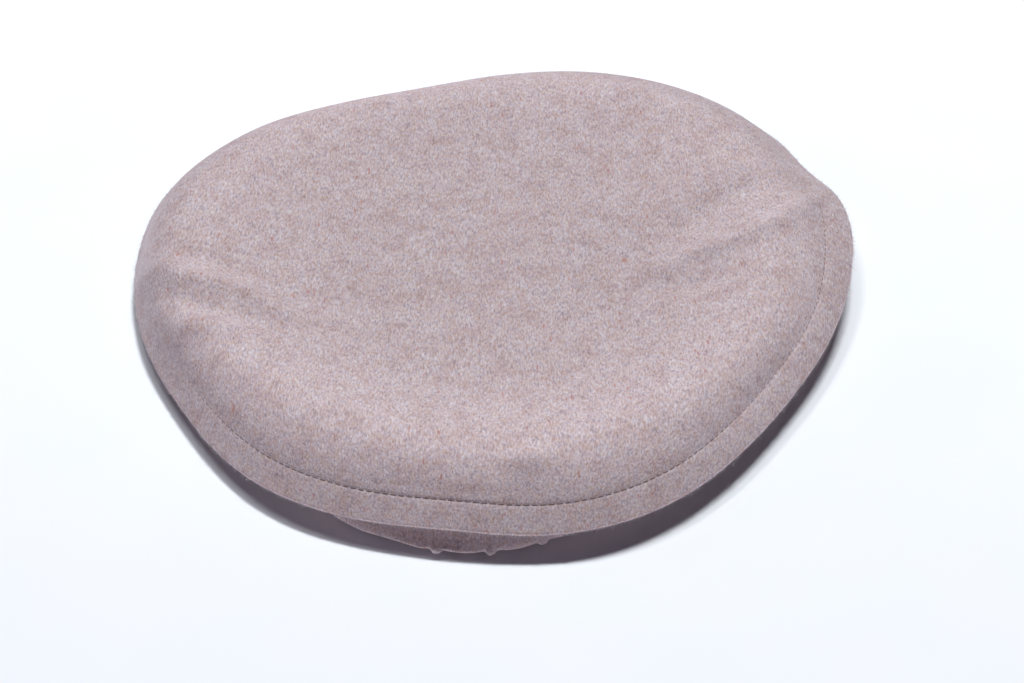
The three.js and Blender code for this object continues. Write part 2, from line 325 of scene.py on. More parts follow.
def turn_faces_out(mesh):
    mesh.calc_loop_triangles()
    corners = np.array([mesh.vertices[i].co for t in mesh.loop_triangles for i in t.vertices])
    a, b, c = corners.reshape(-1, 3, 3).transpose(1, 0, 2)
    volume = np.einsum("ij,ij->", a, np.cross(b, c))
    if volume < 0:
        mesh.flip_normals()


def even_columns(count):
    """Directions for a mesh's columns, evenly round the cap."""
    return np.arange(0, 360, 360 / count)[:, None]


def grid_faces(around, along, closed_along):
    """Quads of a grid that closes round the cap, and along the section too if asked."""
    side = np.arange(around)[:, None]
    place = np.arange(along if closed_along else along - 1)[None, :]
    next_side = (side + 1) % around
    next_place = (place + 1) % along
    corners = [
        side * along + place,
        next_side * along + place,
        next_side * along + next_place,
        side * along + next_place,
    ]
    return np.stack(np.broadcast_arrays(*corners), axis=-1).reshape(-1, 4)


def disc_mesh(grid):
    """A disc from points (around, along, 3) that run from one axis point to the other."""
    around, along = grid.shape[0], grid.shape[1] - 2
    faces = grid_faces(around, along, False).tolist()
    lowest, highest = around * along, around * along + 1
    for side in range(around):
        following = (side + 1) % around
        faces.append([lowest, following * along, side * along])
        faces.append([highest, side * along + along - 1, following * along + along - 1])
    ends = [grid[:, 0].mean(axis=0), grid[:, -1].mean(axis=0)]
    return np.vstack([grid[:, 1:-1].reshape(-1, 3), ends]), faces


def ring_mesh(grid):
    """A ring from points (around, along, 3) whose section closes on itself."""
    around, along = grid.shape[:2]
    return grid.reshape(-1, 3), grid_faces(around, along, True)


def offset_line(line, amount):
    """Moves an open line of points to its left."""
    run = unit(np.gradient(line, axis=0))
    return line + amount * np.stack([-run[:, 1], run[:, 0]], axis=1)


def round_end(tip, before, half, points):
    """Points round the end of a strip, from its right side to its left side."""
    run = (tip - before) / np.linalg.norm(tip - before)
    side = np.array([run[1], -run[0]])
    turns = np.linspace(0, np.pi, points + 2)[1:-1, None]
    return tip + half * (np.cos(turns) * side + np.sin(turns) * run)


def strip_section(line, thickness, end_points=5):
    """The closed outline of a strip of cloth along its middle line, with rounded ends."""
    half = thickness / 2
    right = offset_line(line, -half)
    left = offset_line(line, half)[::-1]
    far = round_end(line[-1], line[-2], half, end_points)
    near = round_end(line[0], line[1], half, end_points)
    return np.vstack([right, far, left, near])


def sampled_line(controls, spacing):
    """A smooth open curve through control points, sampled about every spacing."""
    controls = np.array(controls, dtype=float)
    steps = np.linalg.norm(np.diff(controls, axis=0), axis=1)
    stations = np.concatenate([[0], np.cumsum(steps)])
    samples = np.linspace(0, stations[-1], int(stations[-1] / spacing) + 2)
    columns = [smooth_through(list(zip(stations, controls[:, k])), samples) for k in (0, 1)]
    return np.stack(columns, axis=1)


# ---- Materials ----

def new_material(name):
    material = bpy.data.materials.new(name)
    material.use_nodes = True
    return material


def add_node(material, kind, **settings):
    node = material.node_tree.nodes.new(kind)
    for key, value in settings.items():
        setattr(node, key, value)
    return node


def join(material, output, target):
    material.node_tree.links.new(output, target)


def feed(material, value, target):
    """Gives an input another node's output, a plain colour or a plain number."""
    if isinstance(value, bpy.types.NodeSocket):
        join(material, value, target)
    elif isinstance(value, tuple):
        target.default_value = (*value, 1)
    else:
        target.default_value = value


def set_inputs(node, **inputs):
    """Sets a node's inputs by name, with _ for each space in the name."""
    for key, value in inputs.items():
        node.inputs[key.replace("_", " ")].default_value = value


def shader_of(material, **inputs):
    """The material's Principled shader, with its inputs set by name."""
    shader = material.node_tree.nodes["Principled BSDF"]
    set_inputs(shader, **inputs)
    return shader


def place_in_mm(material, turn=(0, 0, 0), stretch=(1, 1, 1)):
    """The place on the piece in millimetres, turned and stretched for what grows along a line."""
    where = add_node(material, "ShaderNodeTexCoord")
    mapping = add_node(material, "ShaderNodeMapping")
    rotation = [math.radians(angle) for angle in turn]
    set_inputs(mapping, Rotation=rotation, Scale=[1 / MM * part for part in stretch])
    join(material, where.outputs["Object"], mapping.inputs["Vector"])
    return mapping.outputs["Vector"]


def noise_at(material, place, scale, detail=2.0, roughness=0.5, distortion=0.0):
    texture = add_node(material, "ShaderNodeTexNoise")
    set_inputs(texture, Scale=scale, Detail=detail, Roughness=roughness, Distortion=distortion)
    join(material, place, texture.inputs["Vector"])
    return texture.outputs["Fac"]


def ramp(material, value, stops):
    """A colour ramp with stops of (position, colour)."""
    node = add_node(material, "ShaderNodeValToRGB")
    while len(node.color_ramp.elements) < len(stops):
        node.color_ramp.elements.new(0.5)
    for element, (position, colour) in zip(node.color_ramp.elements, stops):
        element.position = position
        element.color = (*colour, 1)
    join(material, value, node.inputs["Fac"])
    return node.outputs["Color"]


def stretch_range(material, value, low, high, to_low=0.0, to_high=1.0):
    node = add_node(material, "ShaderNodeMapRange")
    join(material, value, node.inputs["Value"])
    set_inputs(node, From_Min=low, From_Max=high, To_Min=to_low, To_Max=to_high)
    return node.outputs["Result"]


def mix_colours(material, share, first, second, way="MIX"):
    """Mixes two colours; the share and each colour is a socket or a plain value."""
    node = add_node(material, "ShaderNodeMix", data_type="RGBA", blend_type=way)
    inputs = [node.inputs[0], node.inputs[6], node.inputs[7]]
    for value, target in zip((share, first, second), inputs):
        feed(material, value, target)
    return node.outputs[2]


def combine(material, first, second, way):
    node = add_node(material, "ShaderNodeMath", operation=way)
    for value, target in zip((first, second), node.inputs):
        feed(material, value, target)
    return node.outputs["Value"]


def raise_surface(material, height, distance, strength):
    bump = add_node(material, "ShaderNodeBump")
    set_inputs(bump, Strength=strength, Distance=distance * MM)
    join(material, height, bump.inputs["Height"])
    join(material, bump.outputs["Normal"], shader_of(material).inputs["Normal"])


# The dyed fibres of the melange wool, as linear colours.
WOOL_DARK = (0.150, 0.108, 0.112)
WOOL_BROWN = (0.300, 0.222, 0.212)
WOOL_ROSE = (0.460, 0.332, 0.336)
WOOL_PALE = (0.548, 0.474, 0.498)
WOOL_WHITE = (0.710, 0.665, 0.700)
WOOL_BLUE_GREY = (0.330, 0.320, 0.385)
WOOL_SAND = (0.500, 0.390, 0.320)
WOOL_RUST = (0.400, 0.150, 0.110)


# The brim and the cut edges are paler than the crown by these factors, to match the photo: painted
# light on the brim, for the light that reaches it under the flange, and a painted highlight on the
# cut edges.
BRIM_PAINTED_LIGHT = 1.30
CUT_EDGE_PAINTED_HIGHLIGHT = 1.75


def grey(value):
    return (value, value, value)


def painted_light_by_place(material, place):
    """Painted light and shade: the wool is painted paler over the shoulder and toward the front, and
    darker on the flange, for how the light falls there.
    """
    reach = add_node(material, "ShaderNodeVectorMath", operation="LENGTH")
    join(material, place, reach.inputs[0])
    outwards = stretch_range(material, reach.outputs["Value"], 60, 140)
    painted_shoulder_light_ramp = ramp(material, outwards, [
        (0.0, grey(0.35)), (0.42, grey(0.70)), (0.70, grey(1.0)),
        (0.82, grey(0.86)), (0.92, grey(0.05)),
    ])
    parts = add_node(material, "ShaderNodeSeparateXYZ")
    join(material, place, parts.inputs["Vector"])
    painted_front_light = stretch_range(material, parts.outputs["Y"], -20, -120, 0.98, 1.08)
    painted_shoulder_light = stretch_range(material, painted_shoulder_light_ramp, 0, 1, 0.98, 1.14)
    return combine(material, painted_shoulder_light, painted_front_light, "MULTIPLY")


def melange_wool(name, painted_brightness=1.0):
    """Felted wool of many dyed fibres, which lie every way as short streaks."""
    material = new_material(name)
    flat = place_in_mm(material)
    streaks = [
        noise_at(material, place_in_mm(material, (0, 0, turn), (1.0, 0.36, 1.1)), 1.5, 3.0, 0.62)
        for turn in (18, 78, -42)
    ]
    crossed = combine(material, combine(material, streaks[0], streaks[1], "ADD"), streaks[2], "ADD")
    crossed = stretch_range(material, crossed, 0.90, 2.10)
    body = ramp(material, crossed, [
        (0.10, WOOL_DARK), (0.30, WOOL_BROWN), (0.47, WOOL_ROSE),
        (0.62, WOOL_PALE), (0.88, WOOL_WHITE),
    ])
    tint = ramp(material, noise_at(material, flat, 0.55, 3.0, 0.6, 0.4), [
        (0.36, WOOL_BLUE_GREY), (0.50, WOOL_PALE), (0.64, WOOL_SAND),
    ])
    body = mix_colours(material, 0.38, body, tint)
    patches = ramp(material, noise_at(material, flat, 0.13, 3.0, 0.65), [
        (0.33, (0.86, 0.81, 0.79)), (0.50, (0.94, 0.93, 0.93)), (0.66, (0.98, 1.0, 1.0)),
    ])
    body = mix_colours(material, 1.0, body, patches, "MULTIPLY")
    # painted light and shade by place, multiplied into the wool's colour
    body = mix_colours(material, 1.0, body, painted_light_by_place(material, flat), "MULTIPLY")
    rust = noise_at(material, place_in_mm(material, (0, 0, 55), (1.0, 0.3, 0.6)), 0.62, 1.0, 0.4)
    body = mix_colours(material, stretch_range(material, rust, 0.70, 0.78, 0, 0.6), body, WOOL_RUST)
    # a painted brightness: 1 for the crown, and paler for the brim and the cut edges as painted
    # light
    body = mix_colours(material, 1.0, body, grey(painted_brightness), "MULTIPLY")
    shader = shader_of(
        material, Roughness=0.95, Specular_IOR_Level=0.12, Sheen_Weight=0.30, Sheen_Roughness=0.45,
        Sheen_Tint=(0.93, 0.88, 0.95, 1),
    )
    join(material, body, shader.inputs["Base Color"])
    fine = noise_at(material, flat, 2.6, 3.0, 0.65)
    raise_surface(material, combine(material, crossed, fine, "ADD"), 0.14, 0.7)
    return material


def plain_wool_fibre(name, colour):
    """One dyed colour of loose fibre, soft and without a gloss."""
    material = new_material(name)
    shader_of(material, Roughness=0.9, Specular_IOR_Level=0.2, Sheen_Weight=0.25,
              Base_Color=(*colour, 1))
    return material


def woven_cotton(name, colour, threads_per_mm=1.8):
    """A plain weave: threads across and along, over and under each other."""
    material = new_material(name)
    place = place_in_mm(material)
    weave = []
    for direction in ("X", "Y"):
        wave = add_node(material, "ShaderNodeTexWave", bands_direction=direction)
        set_inputs(wave, Scale=threads_per_mm / 2, Distortion=0.6)
        join(material, place, wave.inputs["Vector"])
        weave.append(wave.outputs["Fac"])
    cloth = combine(material, weave[0], weave[1], "MULTIPLY")
    slub = noise_at(material, place_in_mm(material, stretch=(0.2, 2.0, 1.0)), 0.8)
    tone = combine(material, stretch_range(material, cloth, 0, 1, 0.82, 1.08), slub, "ADD")
    tone = stretch_range(material, tone, 1.0, 1.9, 0.8, 1.1)
    shader = shader_of(material, Roughness=0.85, Specular_IOR_Level=0.25, Sheen_Weight=0.1)
    colours = mix_colours(material, 1.0, colour, tone, "MULTIPLY")
    join(material, colours, shader.inputs["Base Color"])
    raise_surface(material, cloth, 0.08, 0.6)
    return material


def soft_leather(name, colour):
    """Thin sheepskin with a fine pebbled grain."""
    material = new_material(name)
    place = place_in_mm(material)
    cells = add_node(material, "ShaderNodeTexVoronoi", feature="DISTANCE_TO_EDGE")
    set_inputs(cells, Scale=1.1)
    join(material, place, cells.inputs["Vector"])
    grain = stretch_range(material, cells.outputs["Distance"], 0, 0.3)
    worn = stretch_range(material, noise_at(material, place, 0.08, 3.0), 0.35, 0.65, 0.8, 1.15)
    colours = mix_colours(material, 1.0, colour, worn, "MULTIPLY")
    dark = tuple(0.6 * part for part in colour)
    colours = mix_colours(material, grain, dark, colours)
    shader = shader_of(material, Specular_IOR_Level=0.4)
    join(material, colours, shader.inputs["Base Color"])
    join(material, stretch_range(material, grain, 0, 1, 0.7, 0.5), shader.inputs["Roughness"])
    raise_surface(material, grain, 0.1, 0.5)
    return material


def spun_thread(name, colour):
    """Twisted thread: slanting plies with a little light and dark."""
    material = new_material(name)
    plies = add_node(material, "ShaderNodeTexWave", bands_direction="DIAGONAL")
    set_inputs(plies, Scale=1.1)
    join(material, place_in_mm(material), plies.inputs["Vector"])
    tone = stretch_range(material, plies.outputs["Fac"], 0, 1, 0.72, 1.12)
    shader = shader_of(material, Roughness=0.75, Specular_IOR_Level=0.3, Sheen_Weight=0.15)
    join(material, mix_colours(material, 1.0, colour, tone, "MULTIPLY"), shader.inputs["Base Color"])
    raise_surface(material, plies.outputs["Fac"], 0.06, 0.6)
    return material


# ---- The crown ----

def nap_over_stitches(degrees):
    return np.clip(bulge(NAP_OVER_STITCHES, degrees), 0, 1)


def flange_relief(nominal, degrees):
    """The groove of the stitches and the swelling beside it, as a height."""
    away = nominal - STITCH_RADIUS
    depth = STITCH_GROOVE * (1 - 0.7 * nap_over_stitches(degrees))
    groove = -depth * np.exp(-((away / STITCH_GROOVE_WIDTH) ** 2))
    puff = STITCH_PUFF * np.exp(-(((np.abs(away) - 3.0) / 1.8) ** 2))
    return groove + puff


def disc_radii(outermost):
    """Radii from the axis out, closer together where the cloth bends."""
    stitch = STITCH_RADIUS
    stretches = [(0, 60, 24), (60, 120, 44), (120, stitch - 2, 10), (stitch - 2, stitch + 2, 16),
                 (stitch + 2, outermost, 8)]
    radii = [np.linspace(low, high, count, endpoint=False) for low, high, count in stretches]
    return np.append(np.concatenate(radii), outermost)


def paint_edge_highlight(piece, is_edge_point):
    """Gives the piece's second material, the wool with a painted highlight, to the faces whose
    corners all lie on its cut edge.
    """
    marks = [all(is_edge_point[i] for i in polygon.vertices) for polygon in piece.data.polygons]
    piece.data.polygons.foreach_set("material_index", np.array(marks, dtype=int))


def crown_cloth(wool, highlight_edge_wool):
    """The round top: one piece of felt from the middle out to its cut edge."""
    degrees = even_columns(CROWN_COLUMNS)
    half = WOOL / 2
    radii = disc_radii(EDGE_RADIUS - half)
    middle = CROWN_LEVEL - half
    turns = np.linspace(-math.pi / 2, math.pi / 2, 9)[1:-1]  # round the cut edge
    nominal = np.concatenate([radii, EDGE_RADIUS - half + half * np.cos(turns), radii[::-1]])
    level = np.concatenate([
        np.full_like(radii, middle - half), middle + half * np.sin(turns),
        np.full_like(radii, middle + half),
    ])
    is_upper_face = np.arange(len(nominal)) >= len(radii)
    radius, height = settle(nominal[None, :], level[None, :], degrees)
    height = height + np.where(is_upper_face, flange_relief(nominal, degrees), 0)
    height = height + CROWN_RISE_IN_GAP * flange_opening(nominal[None, :], degrees)
    points, faces = disc_mesh(in_row_frame(radius, height, degrees))
    piece = new_piece("crown_cloth", points, faces, ["crown_panel"], [wool, highlight_edge_wool])
    # the painted highlight covers the rounded cut edge from here out
    highlight_from = EDGE_RADIUS - 0.65 * half
    is_edge = np.tile(nominal[1:-1] > highlight_from, len(degrees))
    paint_edge_highlight(piece, np.append(is_edge, [False, False]))  # the two points on the axis come last


def inner_disc(name, depth, thickness, replaced, material):
    """A round layer inside the crown."""
    degrees = even_columns(INNER_DISC_COLUMNS)
    radii = np.linspace(0, LINING_EDGE, 45)
    upper = CROWN_LEVEL - depth
    nominal = np.concatenate([radii, radii[::-1]])
    level = np.repeat([upper - thickness, upper], len(radii))
    radius, height = settle(nominal[None, :], level[None, :], degrees)
    points, faces = disc_mesh(in_row_frame(radius, height, degrees))
    piece = new_piece(name, points, faces, [replaced], [material])


# ---- The side band and its rolled brim ----

def roll_line(step=9.0):
    """The turns of the rolled brim, each a little inside the one before."""
    turned = np.arange(0, ROLL_TURNS * 360 + step / 2, step)
    wound = ROLL_WOUND_BEFORE + turned
    inset = ROLL_PITCH * wound / 360
    angle = np.radians(wound - 180)
    x = ROLL_MIDDLE[0] + (ROLL_HALF_WIDTH - inset) * np.cos(angle)
    y = ROLL_MIDDLE[1] + (ROLL_HALF_HEIGHT - inset) * np.sin(angle)
    return np.stack([x, y], axis=1)


def side_band_line():
    """In from the cut edge under the crown, down round the opening, along the floor and round."""
    level = SIDE_BAND_LEVEL + WOOL / 2
    floor = WOOL / 2
    flange = [(radius, level) for radius in (EDGE_RADIUS - WOOL / 2, 134, 130, 120, 110, 103)]
    wall = [
        (99, 19.6), (96.6, 17.6), (95.4, 14.5), (WALL_RADIUS, 11), (95.2, 7),
        (96.1, 3.6), (98.2, 1.5), (101.5, floor), (106, floor),
    ]
    spiral = roll_line()
    outer_points = 18  # the outer face of the roll, which shows and is sampled more finely
    before = sampled_line([*flange, *wall, tuple(spiral[0])], 2.2)[:-1]
    outer = sampled_line(spiral[:outer_points], 0.95)
    inner = sampled_line(spiral[outer_points - 1:], 2.4)[1:]
    return np.vstack([before, outer, inner])


def pleat_degrees():
    """Where the pleats stand round the brim: three known ones, and more at uneven spacings."""
    rng = np.random.default_rng(11)
    front_y = OPENING_MIDDLE[1] - OPENING_HALVES[1] - 2 * ROLL_HALF_WIDTH
    front = [math.degrees(math.atan2(front_y, x)) % 360 for x in FRONT_PLEATS]
    fine = np.arange(front[-1], front[0] + 360, FINE_STEP)
    radius = opening_radius(fine) + 2 * ROLL_HALF_WIDTH
    travelled = np.cumsum(radius * math.radians(FINE_STEP))
    travelled = travelled[travelled < travelled[-1] - SMOOTH_STRETCH]
    fine = fine[: len(travelled)]
    count = round(travelled[-1] / PLEAT_SPACING)
    even = np.arange(1, count + 1) * travelled[-1] / count
    uneven = even + rng.uniform(-1, 1, count) * PLEAT_SPACING_SPREAD
    return np.concatenate([front, np.interp(uneven, travelled, fine) % 360])


PLEATS = np.sort(pleat_degrees())


def brim_columns():
    """Directions for the columns of the side band's mesh, close together across each pleat."""
    beside = np.array([-5.5, -4, -2.9, -2.2, -1.5, -0.7, 0, 0.7, 1.5, 2.2, 2.9, 4, 5.5])
    halfway = np.array([0.42, 0.5, 0.58])
    turn = np.degrees(beside / (opening_radius(PLEATS)[:, None] + 2 * ROLL_HALF_WIDTH))
    near = (PLEATS[:, None] + turn) % 360
    following = np.append(PLEATS[1:], PLEATS[0] + 360)
    between = (PLEATS[:, None] + (following - PLEATS)[:, None] * halfway) % 360
    return np.unique(np.concatenate([near.ravel(), between.ravel()]).round(4))


def pleat_reach(degrees):
    """How far the gathered cloth stands out from the brim's even outline, in millimetres."""
    rng = np.random.default_rng(5)
    heights = PLEAT_HEIGHT * rng.uniform(LOWEST_PLEAT, 1.0, len(PLEATS))
    reach = np.zeros_like(degrees)
    nearest = np.full_like(degrees, 1e9)
    for direction, height in zip(PLEATS, heights):
        away = (degrees - direction + 180) % 360 - 180
        arc = np.radians(away) * (opening_radius(degrees) + 2 * ROLL_HALF_WIDTH)
        reach += height * np.exp(-(np.abs(arc) / PLEAT_HALF_WIDTH) ** PLEAT_SHARPNESS)
        nearest = np.minimum(nearest, np.abs(arc))
    halfway_share = np.clip(nearest / (PLEAT_SPACING / 2), 0, 1)
    arch = np.sin(0.5 * math.pi * halfway_share) ** PUFF_FLATNESS
    return reach + PUFF_HEIGHT * arch


def outer_face_share(line):
    """From 0 to 1, how much of the gathering shows at each point of the side band's line.

    It shows on the outermost turn only, from near the floor to the top of the roll.
    """
    x = (line[:, 0] - ROLL_MIDDLE[0]) / ROLL_HALF_WIDTH
    y = (line[:, 1] - ROLL_MIDDLE[1]) / ROLL_HALF_HEIGHT
    angle = np.degrees(np.arctan2(y, x))
    distance = np.hypot(x, y)
    share = smoothstep(angle, -88, -58) * (1 - smoothstep(angle, 10, 70))
    return share * smoothstep(distance, 0.80, 0.92) * (1 - smoothstep(distance, 1.05, 1.2))


def side_band_cloth(wool, highlight_edge_wool):
    """The long strip of felt: the flange's lower layer, the wall and the rolled brim."""
    line = side_band_line()
    share_on_line = outer_face_share(line)
    section = strip_section(line, WOOL)
    ends = (len(section) - 2 * len(line)) // 2
    nothing = np.zeros(ends)
    share = np.concatenate([share_on_line, nothing, share_on_line[::-1], nothing])
    nominal, level = section[None, :, 0], section[None, :, 1]
    lean = PLEAT_LEAN * (ROLL_MIDDLE[1] - level) * share
    columns = brim_columns()[:, None]
    radius_there = opening_radius(columns) + nominal - WALL_RADIUS
    degrees = columns + np.degrees(lean / radius_there)
    radius, height = settle(nominal, level, degrees)
    radius = radius + share * pleat_reach(columns)
    is_flange = level > CEILING
    dip = 0.6 * STITCH_GROOVE * np.exp(-(((nominal - STITCH_RADIUS) / 1.5) ** 2))
    lower_face = level < SIDE_BAND_LEVEL + WOOL / 2
    height = height + np.where(is_flange & lower_face, dip, 0)
    sink = SIDE_BAND_SINK_IN_GAP * flange_opening(nominal, degrees)
    height = height - np.where(is_flange, sink, 0)
    height = np.maximum(height, 0)  # it lies flat on the floor
    points, faces = ring_mesh(in_row_frame(radius, height, degrees))
    piece = new_piece("side_band_cloth", points, faces, ["side_band"], [wool, highlight_edge_wool])
    # the flange's cut edge carries the painted highlight too
    is_edge = (nominal[0] > EDGE_RADIUS - WOOL / 2) & (level[0] > CEILING)
    paint_edge_highlight(piece, np.tile(is_edge, len(columns)))


# ---- Inside the cap ----

TAPE_RADIUS = WALL_RADIUS - WOOL / 2 - CLEARANCE - LINING / 2
LINING_RADIUS = TAPE_RADIUS - LINING - CLEARANCE
SWEATBAND_RADIUS = LINING_RADIUS - LINING / 2 - CLEARANCE - SWEATBAND / 2


def upright_ring(name, controls, thickness, replaced, material):
    """A strip that stands round the inside of the head opening."""
    degrees = even_columns(INNER_RING_COLUMNS)
    section = strip_section(sampled_line(controls, 0.8), thickness)
    radius, height = settle(section[None, :, 0], section[None, :, 1], degrees)
    points, faces = ring_mesh(in_row_frame(radius, height, degrees))
    piece = new_piece(name, points, faces, [replaced], [material])


def side_lining(cotton):
    controls = [(LINING_RADIUS, 16), (LINING_RADIUS - 0.3, 11), (LINING_RADIUS, 5)]
    upright_ring("side_lining_cloth", controls, LINING, "side_lining", cotton)


def sweatband(leather):
    controls = [(SWEATBAND_RADIUS - 0.1, 14), (SWEATBAND_RADIUS - 0.4, 9), (SWEATBAND_RADIUS, 2.6)]
    upright_ring("sweatband_leather", controls, SWEATBAND, "sweatband", leather)


def seam_tape(cotton):
    """The short tape over the side band's upright seam, at the back."""
    half_width = 6.0
    lowest, highest = 5.0, 15.5
    half_turn = math.degrees(half_width / TAPE_RADIUS)
    sides = np.linspace(90 - half_turn, 90 + half_turn, 13)
    levels = np.linspace(lowest, highest, 9)
    outer_first = [TAPE_RADIUS + LINING / 2, TAPE_RADIUS - LINING / 2]
    layers = []
    for nominal in outer_first:
        degrees, level = np.meshgrid(sides, levels, indexing="ij")
        radius, height = settle(np.full_like(level, nominal), level, degrees)
        layers.append(in_row_frame(radius, height, degrees))
    points = np.vstack([layer.reshape(-1, 3) for layer in layers])
    rows, columns = len(sides), len(levels)
    inner = rows * columns
    faces = []
    for row in range(rows - 1):
        for column in range(columns - 1):
            near = row * columns + column
            quad = [near, near + columns, near + columns + 1, near + 1]
            faces.append(quad)
            faces.append([inner + corner for corner in reversed(quad)])
    for row in range(rows - 1):
        low, high = row * columns, (row + 1) * columns
        faces.append([low, inner + low, inner + high, high])
        low, high = low + columns - 1, high + columns - 1
        faces.append([high, inner + high, inner + low, low])
    for column in range(columns - 1):
        faces.append([column + 1, inner + column + 1, inner + column, column])
        far = (rows - 1) * columns + column
        faces.append([far, inner + far, inner + far + 1, far + 1])
    piece = new_piece("seam_tape_cloth", points, faces, ["side_seam_tape"], [cotton])


# ---- Stitches ----

STITCH_STEPS = 7
STITCH_SIDES = 8


def stitch_row(name, nominal, level, lift, thickest, replaced, material, pitch, sink=0.0):
    """A row of separate stitches round the cap, which sink where the nap closes over them.

    The middle of each stitch stands above its ends by lift, or below them where lift is negative.
    """
    fine = np.arange(0, 360, FINE_STEP)
    ring_radius, ring_height = settle(np.full_like(fine, nominal), np.full_like(fine, level), fine)
    ring_height = ring_height - sink * nap_over_stitches(fine)
    ring = in_row_frame(ring_radius, ring_height, fine) / MM
    steps = np.linalg.norm(np.roll(ring, -1, axis=0) - ring, axis=1)
    travelled = np.concatenate([[0], np.cumsum(steps)])
    count = round(travelled[-1] / pitch)
    starts = np.arange(count) * travelled[-1] / count
    share = np.linspace(0, 1, STITCH_STEPS)
    places = starts[:, None] + (travelled[-1] / count - STITCH_GAP) * share[None, :]
    closed = np.vstack([ring, ring[:1]])
    middle = np.stack([np.interp(places, travelled, closed[:, k]) for k in range(3)], axis=-1)
    middle[..., 2] += lift * np.sin(math.pi * share) ** 0.6
    along = unit(np.gradient(middle, axis=1))
    side = unit(np.cross(along, [0, 0, 1]))
    above = np.cross(side, along)
    thickness = thickest * np.sqrt(np.clip(1 - (2 * share - 1) ** 6, 0.12, 1))
    circles = thickness[None, :, None, None] * unit_circles(side, above, STITCH_SIDES)
    points, faces = tubes_mesh(middle[:, :, None, :] + circles)
    new_piece(name, points * MM, faces, [replaced], [material])


def unit_circles(side, above, sides):
    """Points round a circle about each place, from two directions at right angles there."""
    turns = np.arange(sides)[:, None] * 2 * math.pi / sides
    return np.cos(turns) * side[..., None, :] + np.sin(turns) * above[..., None, :]


def tubes_mesh(rings):
    """Closed tubes from points (tube, step, side, 3), with a flat face at each end."""
    tubes, steps, sides = rings.shape[:3]
    start = np.arange(tubes)[:, None, None] * steps * sides
    step = np.arange(steps - 1)[None, :, None] * sides
    side = np.arange(sides)[None, None, :]
    following = (side + 1) % sides
    corners = [
        start + step + side, start + step + following,
        start + step + sides + following, start + step + sides + side,
    ]
    quads = np.stack(np.broadcast_arrays(*corners), axis=-1).reshape(-1, 4)
    ends = np.arange(tubes)[:, None] * steps * sides + np.arange(sides)[None, :]
    faces = quads.tolist()
    faces += ends[:, ::-1].tolist()
    faces += (ends + (steps - 1) * sides).tolist()
    return rings.reshape(-1, 3), faces


# ---- Loose fibres ----

FIBRE_SIDES = 3
FIBRE_STEPS = 3


def fibres(roots, directions, lengths, widths, sag):
    """Thin tapered fibres, as closed tubes that curve down by sag, a share of their length."""
    share = np.linspace(0, 1, FIBRE_STEPS)[None, :, None]
    drop = np.array([0, 0, -1.0]) * sag * lengths[:, None, None] * share**2
    middle = roots[:, None, :] + directions[:, None, :] * lengths[:, None, None] * share + drop
    slanting = [0.31, 0.22, 0.92]  # a fixed direction, which no fibre is likely to follow
    side = unit(np.cross(directions, slanting))
    above = np.cross(side, directions)
    thickness = widths[:, None, None, None] / 2 * (1 - 0.8 * share[..., None])
    circles = thickness * unit_circles(side[:, None], above[:, None], FIBRE_SIDES)
    return tubes_mesh(middle[:, :, None, :] + circles)


def fibre_piece(name, strands, materials, shares, seed):
    """A piece of loose fibres, each of one dyed colour taken by its share."""
    points, faces = strands
    piece = new_piece(name, points * MM, faces, [], materials)
    rng = np.random.default_rng(seed)
    points_in_strand = FIBRE_SIDES * FIBRE_STEPS
    colours = rng.choice(len(materials), size=len(points) // points_in_strand, p=shares)
    first_points = np.array([polygon.vertices[0] for polygon in piece.data.polygons])
    piece.data.polygons.foreach_set("material_index", colours[first_points // points_in_strand])


def rim_fuzz(fibre_materials, shares):
    """The fringe of fibres that stands out from the two cut edges."""
    rng = np.random.default_rng(21)
    count = 13500
    degrees = rng.uniform(0, 360, count)
    is_crown = rng.random(count) < 0.6  # the others grow from the side band
    turn = rng.normal(0, 0.8, count)  # radians up or down round the cut edge
    half = WOOL / 2
    root_depth = 0.9 * half
    middle = np.where(is_crown, CROWN_LEVEL - half, SIDE_BAND_LEVEL + half)
    nominal = EDGE_RADIUS - half + root_depth * np.cos(turn)
    level = middle + root_depth * np.sin(turn)
    radius, height = settle(nominal, level, degrees)
    gap = flange_opening(nominal, degrees)
    height = height + np.where(is_crown, CROWN_RISE_IN_GAP, -SIDE_BAND_SINK_IN_GAP) * gap
    roots = in_row_frame(radius, height, degrees) / MM
    out = np.stack([np.cos(np.radians(degrees)), np.sin(np.radians(degrees)), 0 * degrees], axis=1)
    up = np.array([[0, 0, 1.0]])
    directions = np.cos(turn)[:, None] * out + np.sin(turn)[:, None] * up
    directions = unit(directions + rng.normal(0, 0.45, (count, 3)))
    lengths = rng.gamma(3.0, 0.30, count).clip(0.4, 2.6)
    widths = rng.uniform(0.09, 0.16, count)
    strands = fibres(roots, directions, lengths, widths, sag=0.15)
    fibre_piece("rim_fuzz", strands, fibre_materials, shares, 22)


def crown_nap(fibre_materials, shares):
    """Short fibres that lie on the crown and lift a little at their tips."""
    rng = np.random.default_rng(31)
    count = 8000
    degrees = rng.uniform(0, 360, count)
    nominal = (EDGE_RADIUS - 1) * np.sqrt(rng.random(count))
    level = np.full_like(nominal, CROWN_LEVEL - 0.1)
    radius, height = settle(nominal, level, degrees)
    rise_in_gap = CROWN_RISE_IN_GAP * flange_opening(nominal, degrees)
    height = height + flange_relief(nominal, degrees) + rise_in_gap
    roots = in_row_frame(radius, height, degrees) / MM
    heading = rng.uniform(0, 2 * math.pi, count)
    rise = rng.uniform(0.12, 0.5, count)
    directions = unit(np.stack([np.cos(heading), np.sin(heading), rise], axis=1))
    lengths = rng.uniform(0.7, 1.9, count)
    widths = rng.uniform(0.05, 0.08, count)
    strands = fibres(roots, directions, lengths, widths, sag=0.25)
    fibre_piece("crown_nap", strands, fibre_materials, shares, 32)


# ---- The whole cap ----

